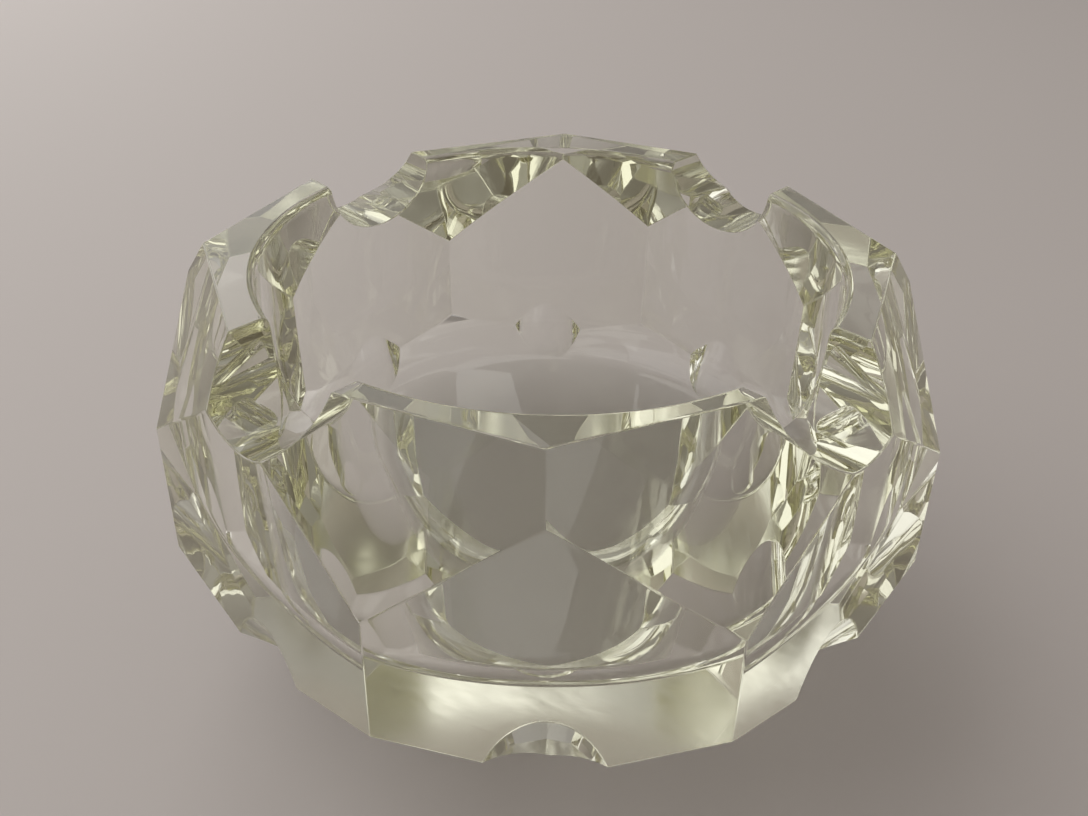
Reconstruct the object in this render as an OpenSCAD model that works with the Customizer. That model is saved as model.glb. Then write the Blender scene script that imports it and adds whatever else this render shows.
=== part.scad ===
/* [Body] */
// Width across the widest corners, low on the sides
corner_w = 132; // [120:1:146]
// Height from the table to the flat rim
body_h = 74; // [68:1:80]
// Height of the lower, widest row of corners
low_corner_h = 30.5; // [27:0.5:34]
// Height of the upper row of corners
high_corner_h = 52.5; // [48:0.5:57]
// Inward lean of the eight side facets, in degrees
side_lean = 2.8; // [1:0.1:4]

/* [Rim and base] */
// Width of the flat rim, across its flats
rim_w = 103; // [99:1:108]
// Width of the flat base, across its flats
base_w = 65; // [56:1:80]

/* [Well] */
// Diameter of the round well at its mouth, before the lip is rounded
well_d = 92; // [84:1:95]
// How far the well's wall swells out below the mouth
well_swell = 1; // [0.5:0.1:2]
// Height at which the well is widest
well_swell_h = 46.5; // [44:0.5:52]
// Thickness of the glass under the well
floor_t = 28.5; // [22:0.5:34]
// Radius of the rounded corner between the well's wall and floor
well_corner_r = 8; // [3:0.5:12]
// Radius of the rounded lip between the well's wall and the rim
lip_r = 2; // [1:0.5:3]

/* [Grooves] */
// Width of the four rests cut across the rim
rest_w = 22; // [16:1:26]
// Diameter of the round tool that cuts the eight flutes in the lower edge
flute_d = 22; // [16:1:26]
// Steepness of the flutes, upwards and outwards, in degrees
flute_slope = 65; // [58:1:72]
// Height of the top of each flute, on its side facet
flute_top_h = 34; // [30:0.5:38]

/* [Hidden] */

sides = 8;
turn = 360 / sides;
round_fn = 96;
wall_fn = 720;
reach = corner_w;
glass_tint = [0.84, 0.87, 0.74, 0.6];

// A corner of a regular octagon is this much further out than its flats
corner_ratio = 1 / cos(turn / 2);

// Radial distances of the side facets and of both rows of corners
low_corner_r = corner_w / 2;
side_r_low = low_corner_r / corner_ratio;
side_r_high = side_r_low - (high_corner_h - low_corner_h) * tan(side_lean);
side_r_base = side_r_low + low_corner_h * tan(side_lean);
side_r_rim = side_r_low - (body_h - low_corner_h) * tan(side_lean);
side_r_flute = side_r_low - (flute_top_h - low_corner_h) * tan(side_lean);
high_corner_r = side_r_high * corner_ratio;

// The bevels above and below each corner, drawn on until they meet outside it
low_spread = (low_corner_r - base_w / 2) / low_corner_h;
high_spread = (high_corner_r - rim_w / 2) / (body_h - high_corner_h);
tip_h = (rim_w / 2 + high_spread * body_h - base_w / 2) / (low_spread + high_spread);
tip_r = base_w / 2 + low_spread * tip_h;

// The well's wall is an arc, through the mouth and the widest height
swell_rise = body_h - well_swell_h;
wall_arc_r = (swell_rise * swell_rise + well_swell * well_swell) / (2 * well_swell);
wall_arc_x = well_d / 2 + well_swell - wall_arc_r;

// The rounded corner touches that arc from inside, at the join height
corner_h = floor_t + well_corner_r;
join_angle = asin((well_swell_h - corner_h) / (wall_arc_r - well_corner_r));
join_h = well_swell_h - wall_arc_r * sin(join_angle);
corner_x = wall_arc_x + (wall_arc_r - well_corner_r) * cos(join_angle);

// The round of the lip stops a little short of the rim, which leaves a fine edge
lip_drop = 0.9 * lip_r;
lip_x = well_d / 2 + lip_r;

// Upright profiles, from one side of the body to the other
side_profile = [
    [-side_r_base, 0],
    [side_r_base, 0],
    [side_r_rim, body_h],
    [-side_r_rim, body_h]
];
bevel_profile = [
    [-base_w / 2, 0],
    [base_w / 2, 0],
    [tip_r, tip_h],
    [rim_w / 2, body_h],
    [-rim_w / 2, body_h],
    [-tip_r, tip_h]
];

// A long bar with the given upright profile, turned about the middle of the body
module bar(profile, angle) {
    rotate([90, 0, angle])
        linear_extrude(height = 2 * reach, center = true)
            polygon(profile);
}

// The solid block before any hollow is cut: each bar cuts two opposite facets
// or two opposite pairs of bevels
module cut_block() {
    intersection_for (i = [0 : sides / 2 - 1]) {
        intersection() {
            bar(side_profile, i * turn);
            bar(bevel_profile, (i + 0.5) * turn);
        }
    }
}

// The round hollow, with a rounded lip and a faintly swollen wall that rounds
// into a flat floor
module well() {
    rotate_extrude($fn = round_fn) {
        intersection() {
            translate([wall_arc_x, well_swell_h])
                circle(r = wall_arc_r, $fn = wall_fn);
            translate([0, join_h])
                square([reach, body_h]);
        }
        translate([0, floor_t])
            square([corner_x, body_h]);
        intersection() {
            translate([corner_x, corner_h])
                circle(r = well_corner_r, $fn = round_fn);
            translate([corner_x, floor_t])
                square([reach, join_h - floor_t]);
        }
        difference() {
            translate([0, body_h - lip_drop])
                square([lip_x, 2 * lip_r]);
            translate([lip_x, body_h - lip_drop])
                circle(r = lip_r, $fn = round_fn);
        }
    }
}

// A half-round channel across the rim, from the well to the outside
module rest_groove() {
    translate([0, 0, body_h])
        rotate([0, 90, 0])
            cylinder(d = rest_w, h = reach, $fn = round_fn);
}

// A steep half-round flute: it opens on a side facet and runs down to a point
// between the two lower bevels
module flute() {
    translate([side_r_flute, 0, flute_top_h])
        rotate([0, 90 - flute_slope, 0])
            translate([flute_d / 2, 0, 0])
                cylinder(d = flute_d, h = reach, center = true, $fn = round_fn);
}

module glass_bowl() {
    color(glass_tint)
        difference() {
            cut_block();
            well();
            for (i = [0 : 2 : sides - 1]) {
                rotate([0, 0, i * turn]) rest_groove();
            }
            for (i = [0 : sides - 1]) {
                rotate([0, 0, i * turn]) flute();
            }
        }
}

glass_bowl();
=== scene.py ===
"""The looks of the cut-glass ashtray: one solid block of pale yellow-green glass on a pale table.

The block is cut here in the same way as the real one: a solid is trimmed by its facet planes,
then the round well, the rests across the rim and the flutes in the lower edge are taken out
of it, and last every sharp edge gets the narrow polished rounding that catches the light.
"""

import math

import bmesh
import bpy
from mathutils import Matrix, Vector


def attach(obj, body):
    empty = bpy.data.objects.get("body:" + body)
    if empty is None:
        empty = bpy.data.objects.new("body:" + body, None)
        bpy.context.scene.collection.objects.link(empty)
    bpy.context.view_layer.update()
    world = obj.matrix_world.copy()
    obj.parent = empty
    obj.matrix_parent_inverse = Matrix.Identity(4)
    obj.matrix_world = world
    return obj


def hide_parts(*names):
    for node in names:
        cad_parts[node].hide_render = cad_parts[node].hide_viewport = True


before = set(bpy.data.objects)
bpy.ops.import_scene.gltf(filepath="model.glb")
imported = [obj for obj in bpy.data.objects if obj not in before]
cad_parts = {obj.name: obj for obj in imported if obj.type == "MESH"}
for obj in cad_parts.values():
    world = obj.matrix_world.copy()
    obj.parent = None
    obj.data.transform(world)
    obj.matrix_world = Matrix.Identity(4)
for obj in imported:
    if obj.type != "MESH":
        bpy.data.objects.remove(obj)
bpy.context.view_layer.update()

MM = 0.001
NODE = "glass_bowl"

# The design, in millimetres, as in the CAD part
CORNER_W = 132.0
BODY_H = 74.0
LOW_CORNER_H = 30.5
HIGH_CORNER_H = 52.5
SIDE_LEAN = math.radians(2.8)
RIM_W = 103.0
BASE_W = 65.0
WELL_D = 92.0
FLOOR_T = 28.5
WELL_SWELL = 1.0
WELL_SWELL_H = 46.5
WELL_CORNER_R = 8.0
LIP_R = 2.0
REST_W = 22.0
FLUTE_D = 22.0
FLUTE_SLOPE = math.radians(65.0)
FLUTE_TOP_H = 34.0
SIDES = 8
TURN = 2 * math.pi / SIDES

# Hand cutting leaves a few facets slightly deeper or shallower than the pattern (outwards is
# positive). Side facet i faces angle i * TURN, and bevel i faces the corner after it.
SIDE_WANDER = {6: -1.2}
HIGH_WANDER = {2: 1.2, 3: -1.2, 6: -1.4, 7: -1.9}
LOW_WANDER = {2: 0.7, 3: -1.5, 6: -0.8}

# The polished rounding of the sharp edges. Corners closer than MERGE are joined first, so that
# the rounding never folds over itself.
EDGE_ROUND = 0.25
EDGE_STEPS = 3
SHARP = math.radians(20)
MERGE = 0.4

# How finely the round cuts are drawn
WELL_STEPS = 144
FLOOR_RINGS = 4
CORNER_STEPS = 16
WALL_STEPS = 5
LIP_STEPS = 3
GROOVE_STEPS = 64

# The wall ends LIP_DROP below the rim, level with the centre of the lip's round. The round starts
# a step after LIP_FROM, just off the wall, and ends a hair above the rim.
LIP_DROP = 0.9 * LIP_R
LIP_FROM = math.radians(12)
LIP_TURN = math.radians(54)

# How far the well's tool reaches above the rim, and a flute's tool each way along the flute
WELL_REACH = 8
FLUTE_REACH = 60

# The directions of the view, which looks towards AWAY from in front of an uncut rim corner
VIEW_TURN = math.radians(45)
RIGHT = Vector((math.cos(VIEW_TURN), math.sin(VIEW_TURN), 0))
AWAY = Vector((-math.sin(VIEW_TURN), math.cos(VIEW_TURN), 0))
UP = Vector((0, 0, 1))

# Light may cross the block this many times
BOUNCES = 48


def side_r(height):
    """Radial distance of the side facets at a height."""
    low = CORNER_W / 2 * math.cos(TURN / 2)
    return low - (height - LOW_CORNER_H) * math.tan(SIDE_LEAN)


def facet_planes():
    """(point, outward normal) of each plane that trims the block."""
    planes = [((0, 0, 0), (0, 0, -1)), ((0, 0, BODY_H), (0, 0, 1))]
    high_corner_r = side_r(HIGH_CORNER_H) / math.cos(TURN / 2)
    low_run = CORNER_W / 2 - BASE_W / 2
    high_run = high_corner_r - RIM_W / 2
    for i in range(SIDES):
        a = i * TURN
        out = Vector((math.cos(a), math.sin(a), 0))
        lean = out * math.cos(SIDE_LEAN) + Vector((0, 0, math.sin(SIDE_LEAN)))
        planes.append((out * (side_r(0) + SIDE_WANDER.get(i, 0)), lean))
        b = (i + 0.5) * TURN
        out = Vector((math.cos(b), math.sin(b), 0))
        low = out * (BASE_W / 2 + LOW_WANDER.get(i, 0))
        planes.append((low, out * LOW_CORNER_H - Vector((0, 0, low_run))))
        rise = BODY_H - HIGH_CORNER_H
        top = out * (RIM_W / 2 + HIGH_WANDER.get(i, 0)) + Vector((0, 0, BODY_H))
        planes.append((top, out * rise + Vector((0, 0, high_run))))
    return [(Vector(p) * MM, Vector(n).normalized()) for p, n in planes]


def new_object(name, bm):
    """Puts a finished mesh into the scene as an object."""
    mesh = bpy.data.meshes.new(name)
    bm.to_mesh(mesh)
    bm.free()
    made = bpy.data.objects.new(name, mesh)
    bpy.context.scene.collection.objects.link(made)
    return made


def trimmed_block():
    """A cube trimmed by every facet plane in turn."""
    bm = bmesh.new()
    bmesh.ops.create_cube(bm, size=4 * CORNER_W * MM)
    for point, normal in facet_planes():
        cut = bmesh.ops.bisect_plane(
            bm, geom=bm.verts[:] + bm.edges[:] + bm.faces[:], plane_co=point,
            plane_no=normal, clear_outer=True, dist=1e-7)
        edges = [e for e in cut["geom_cut"] if isinstance(e, bmesh.types.BMEdge)]
        bmesh.ops.contextual_create(bm, geom=edges)
    bmesh.ops.recalc_face_normals(bm, faces=bm.faces)
    return bm


def lathe(name, outline, steps):
    """A closed solid turned about Z from (radius, height) points, the first and last on the axis."""
    bm = bmesh.new()
    rings = []
    for r, z in outline:
        if r < 1e-9:
            rings.append([bm.verts.new((0, 0, z * MM))] * steps)
            continue
        rings.append([
            bm.verts.new((r * MM * math.cos(2 * math.pi * (i + 0.5) / steps),
                          r * MM * math.sin(2 * math.pi * (i + 0.5) / steps), z * MM))
            for i in range(steps)])
    for low, high in zip(rings, rings[1:]):
        for i in range(steps):
            j = (i + 1) % steps
            corners = []
            for v in (low[i], low[j], high[j], high[i]):
                if v not in corners:
                    corners.append(v)
            bm.faces.new(corners)
    bmesh.ops.recalc_face_normals(bm, faces=bm.faces)
    return new_object(name, bm)


def well_outline():
    """A flat floor, a rounded corner, a wall that is an arc through the mouth and the widest
    height, and a rounded lip."""
    rise = BODY_H - WELL_SWELL_H
    wall_r = (rise ** 2 + WELL_SWELL ** 2) / (2 * WELL_SWELL)
    wall_x = WELL_D / 2 + WELL_SWELL - wall_r
    corner_z = FLOOR_T + WELL_CORNER_R
    join = math.asin((WELL_SWELL_H - corner_z) / (wall_r - WELL_CORNER_R))
    corner_x = wall_x + (wall_r - WELL_CORNER_R) * math.cos(join)
    points = [(corner_x * i / FLOOR_RINGS, FLOOR_T) for i in range(FLOOR_RINGS)]
    for i in range(CORNER_STEPS + 1):
        t = (math.pi / 2 - join) * i / CORNER_STEPS
        points.append((corner_x + WELL_CORNER_R * math.sin(t),
                       corner_z - WELL_CORNER_R * math.cos(t)))
    low, high = -join, math.asin((rise - LIP_DROP) / wall_r)
    for i in range(1, WALL_STEPS + 1):
        t = low + (high - low) * i / WALL_STEPS
        points.append((wall_x + wall_r * math.cos(t), WELL_SWELL_H + wall_r * math.sin(t)))
    for i in range(1, LIP_STEPS + 1):
        t = LIP_FROM + LIP_TURN * i / LIP_STEPS
        points.append((WELL_D / 2 + LIP_R - LIP_R * math.cos(t),
                       BODY_H - LIP_DROP + LIP_R * math.sin(t)))
    over = (points[-1][0], BODY_H + WELL_REACH)
    return points + [over, (0, over[1])]


def channel(name, width, start, direction, length):
    """A round bar from start along direction, to be cut away. Sizes are in millimetres."""
    bm = bmesh.new()
    bmesh.ops.create_cone(
        bm, cap_ends=True, segments=GROOVE_STEPS, radius1=width / 2 * MM,
        radius2=width / 2 * MM, depth=length * MM)
    turn = direction.to_track_quat("Z", "Y").to_matrix().to_4x4()
    middle = (start + direction * length / 2) * MM
    bm.transform(Matrix.Translation(middle) @ turn)
    return new_object(name, bm)


def cutters():
    """The tools that hollow the block: the well's, the four rests' and the eight flutes'."""
    made = [lathe("cut_well", well_outline(), WELL_STEPS)]
    for i in range(SIDES):
        a = i * TURN
        out = Vector((math.cos(a), math.sin(a), 0))
        if i % 2 == 0:
            start = out * WELL_D / 4 + Vector((0, 0, BODY_H))
            made.append(channel("cut_rest", REST_W, start, out, CORNER_W / 2))
        slope = out * math.cos(FLUTE_SLOPE) + Vector((0, 0, math.sin(FLUTE_SLOPE)))
        square = out * math.sin(FLUTE_SLOPE) - Vector((0, 0, math.cos(FLUTE_SLOPE)))
        top = out * side_r(FLUTE_TOP_H) + Vector((0, 0, FLUTE_TOP_H))
        start = top + square * FLUTE_D / 2 - slope * FLUTE_REACH
        made.append(channel("cut_flute", FLUTE_D, start, slope, 2 * FLUTE_REACH))
    return made


def apply_modifiers(obj):
    """Bakes the object's modifiers into its mesh."""
    graph = bpy.context.evaluated_depsgraph_get()
    mesh = bpy.data.meshes.new_from_object(obj.evaluated_get(graph))
    obj.modifiers.clear()
    obj.data = mesh


def cut_glass():
    """The finished block: trimmed, hollowed, and rounded along its sharp edges."""
    body = new_object("cut_glass", trimmed_block())
    away = cutters()
    group = bpy.data.collections.new("cutters")
    bpy.context.scene.collection.children.link(group)
    for c in away:
        bpy.context.scene.collection.objects.unlink(c)
        group.objects.link(c)
    cut = body.modifiers.new("cut", "BOOLEAN")
    cut.operation = "DIFFERENCE"
    cut.solver = "EXACT"
    cut.operand_type = "COLLECTION"
    cut.collection = group
    apply_modifiers(body)
    for c in away:
        bpy.data.objects.remove(c)
    bpy.data.collections.remove(group)

    bm = bmesh.new()
    bm.from_mesh(body.data)
    bmesh.ops.remove_doubles(bm, verts=bm.verts, dist=MERGE * MM)
    bm.to_mesh(body.data)
    bm.free()

    edge = body.modifiers.new("edge", "BEVEL")
    edge.width = EDGE_ROUND * MM
    edge.segments = EDGE_STEPS
    edge.limit_method = "ANGLE"
    edge.angle_limit = SHARP
    # Without this, the shortest edge would thin the rounding everywhere
    edge.use_clamp_overlap = False
    apply_modifiers(body)
    body.data.shade_smooth()
    body.modifiers.new("normals", "WEIGHTED_NORMAL")
    apply_modifiers(body)
    return body


def glass_material():
    """Clear glass with a faint tint in its depth, slightly wavy from hand polishing, with
    faint wipe marks all over and a finely scuffed base."""
    mat = bpy.data.materials.new("cut_glass")
    mat.use_nodes = True
    nodes, links = mat.node_tree.nodes, mat.node_tree.links
    shader = nodes["Principled BSDF"]
    shader.inputs["Transmission Weight"].default_value = 1
    shader.inputs["IOR"].default_value = 1.52
    place = nodes.new("ShaderNodeTexCoord").outputs["Object"]

    def noise(scale, detail, stretch=(1, 1, 1)):
        lay = nodes.new("ShaderNodeMapping")
        lay.inputs["Scale"].default_value = stretch
        links.new(place, lay.inputs["Vector"])
        made = nodes.new("ShaderNodeTexNoise")
        made.inputs["Scale"].default_value = scale
        made.inputs["Detail"].default_value = detail
        links.new(lay.outputs[0], made.inputs["Vector"])
        return made.outputs["Fac"]

    def remap(value, low, high, out_low, out_high):
        made = nodes.new("ShaderNodeMapRange")
        for name, number in (("From Min", low), ("From Max", high),
                             ("To Min", out_low), ("To Max", out_high)):
            made.inputs[name].default_value = number
        links.new(value, made.inputs["Value"])
        return made.outputs["Result"]

    def combine(kind, one, other):
        made = nodes.new("ShaderNodeMath")
        made.operation = kind
        links.new(one, made.inputs[0])
        links.new(other, made.inputs[1])
        return made.outputs[0]

    waves = nodes.new("ShaderNodeBump")
    waves.inputs["Strength"].default_value = 0.2
    waves.inputs["Distance"].default_value = 0.0004
    links.new(noise(scale=60, detail=1), waves.inputs["Height"])
    links.new(waves.outputs["Normal"], shader.inputs["Normal"])

    streaks = noise(scale=140, detail=2, stretch=(1, 3, 0.4))
    wipes = remap(streaks, low=0.60, high=0.80, out_low=0.0, out_high=0.035)

    # The foot is the lowest millimetre of the glass, which stands on the table
    apart = nodes.new("ShaderNodeSeparateXYZ")
    links.new(place, apart.inputs[0])
    foot = remap(apart.outputs["Z"], low=0.0001, high=0.0009, out_low=1.0, out_high=0.0)
    rubs = noise(scale=120, detail=3, stretch=(1, 4, 1))
    scuffs = combine("MULTIPLY", foot, remap(rubs, low=0.30, high=0.70, out_low=0.15, out_high=0.24))
    links.new(combine("ADD", wipes, scuffs), shader.inputs["Roughness"])

    tint = nodes.new("ShaderNodeValToRGB")
    tint.color_ramp.elements[0].color = (0.965, 0.97, 0.95, 1)
    tint.color_ramp.elements[1].color = (1, 1, 1, 1)
    links.new(noise(scale=25, detail=2), tint.inputs["Fac"])
    links.new(tint.outputs["Color"], shader.inputs["Base Color"])

    absorb = nodes.new("ShaderNodeVolumeAbsorption")
    absorb.inputs["Color"].default_value = (0.775, 0.77, 0.50, 1)
    absorb.inputs["Density"].default_value = 5
    links.new(absorb.outputs[0], nodes["Material Output"].inputs["Volume"])
    return mat


def table_material():
    """The plain, matt, pale surface under the glass."""
    mat = bpy.data.materials.new("table")
    mat.use_nodes = True
    shader = mat.node_tree.nodes["Principled BSDF"]
    shader.inputs["Base Color"].default_value = (0.68, 0.625, 0.59, 1)
    shader.inputs["Roughness"].default_value = 0.65
    return mat


def table():
    """The table, a hair under the base so that the glass keeps its thin film of air."""
    bm = bmesh.new()
    bmesh.ops.create_grid(bm, x_segments=1, y_segments=1, size=3.0)
    made = new_object("floor", bm)
    made.location.z = -0.0001
    made.data.materials.append(table_material())


def spot(right, away, up):
    """A place as seen in the view: to the right, away from the camera and up, in metres."""
    return RIGHT * right + AWAY * away + UP * up


def window():
    """A wide, soft lamp behind the glass and to its left."""
    place, aim = spot(-0.80, 0.42, 0.57), spot(-0.22, 0.14, 0)
    data = bpy.data.lights.new("window", "AREA")
    data.shape = "RECTANGLE"
    data.size, data.size_y = 2.1, 1.7
    data.energy = 9.8
    light = bpy.data.objects.new("window", data)
    bpy.context.scene.collection.objects.link(light)
    light.location = place
    light.rotation_euler = (aim - place).to_track_quat("-Z", "Y").to_euler()


def surround():
    """A pale room: bright behind the glass and overhead, darker on the camera's side."""
    world = bpy.data.worlds.new("room")
    world.use_nodes = True
    nodes, links = world.node_tree.nodes, world.node_tree.links
    coords = nodes.new("ShaderNodeTexCoord")
    towards = nodes.new("ShaderNodeVectorMath")
    towards.operation = "DOT_PRODUCT"
    towards.inputs[1].default_value = spot(-0.45, 0.7, 0.55).normalized()
    links.new(coords.outputs["Generated"], towards.inputs[0])
    shift = nodes.new("ShaderNodeMapRange")
    shift.inputs["From Min"].default_value = -0.7
    shift.inputs["From Max"].default_value = 1.0
    links.new(towards.outputs["Value"], shift.inputs["Value"])
    ramp = nodes.new("ShaderNodeValToRGB")
    ramp.color_ramp.elements[0].color = (0.125, 0.107, 0.085, 1)
    ramp.color_ramp.elements[1].color = (0.445, 0.428, 0.422, 1)
    links.new(shift.outputs["Result"], ramp.inputs["Fac"])
    links.new(ramp.outputs["Color"], nodes["Background"].inputs["Color"])
    bpy.context.scene.world = world


def camera():
    """A close view from above the table, with its small pan and roll."""
    data = bpy.data.cameras.new("photo_view")
    data.lens = 32.03
    data.sensor_width = 36
    data.clip_start = 0.01
    made = bpy.data.objects.new("photo_view", data)
    bpy.context.scene.collection.objects.link(made)
    made.location = spot(-0.0014, -0.143, 0.1406)
    pitch, pan, roll = math.radians(34.39), math.radians(0.34), math.radians(1.02)
    turn = Matrix.Rotation(VIEW_TURN - pan, 3, "Z") @ Matrix.Rotation(math.pi / 2 - pitch, 3, "X")
    turn = turn @ Matrix.Rotation(roll, 3, "Z")
    made.rotation_euler = turn.to_euler()
    bpy.context.scene.camera = made


body = cut_glass()
body.data.materials.clear()
body.data.materials.append(glass_material())
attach(body, "root")
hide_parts(NODE)

table()
window()
surround()
scene = bpy.context.scene
scene.cycles.max_bounces = BOUNCES
scene.cycles.transmission_bounces = BOUNCES
scene.cycles.glossy_bounces = BOUNCES
scene.view_settings.view_transform = "Standard"
camera()
